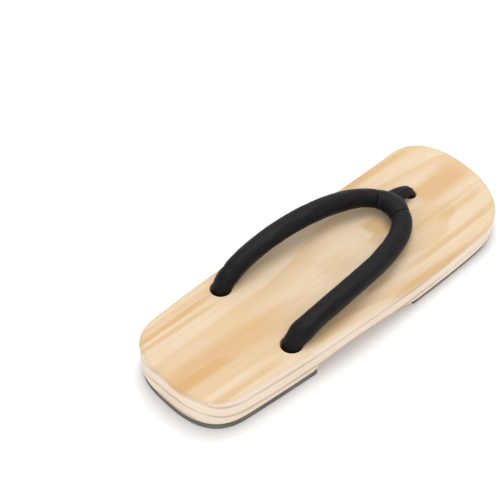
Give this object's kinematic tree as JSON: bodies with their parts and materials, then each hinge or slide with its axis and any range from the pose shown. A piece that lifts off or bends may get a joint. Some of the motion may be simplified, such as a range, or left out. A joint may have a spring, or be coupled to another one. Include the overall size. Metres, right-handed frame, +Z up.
{
  "type": "geta sandal",
  "caption": "Flat wooden geta sandal for the right foot with a one-piece board, black padded V straps joined by a cloth toe thong, and rubber pads under heel and ball.",
  "frame": {"origin": "on the floor under the middle of the sandal's length and width", "axes": "+Y from heel to toe, +X to the wearer's right (the outer side), +Z up from the floor"},
  "size_m": [0.088, 0.2508, 0.0372],
  "materials": {
    "wood": "pale pine or cedar with straight grain, smooth and barely glossy",
    "rubber": "dark warm grey, matte",
    "cloth": "black, fine weave with a soft sheen"
  },
  "bodies": {
    "root": {"board": "wood", "heel_pad": "rubber", "ball_pad": "rubber", "strap": "cloth", "toe_thong": "cloth"}
  },
  "joints": []
}
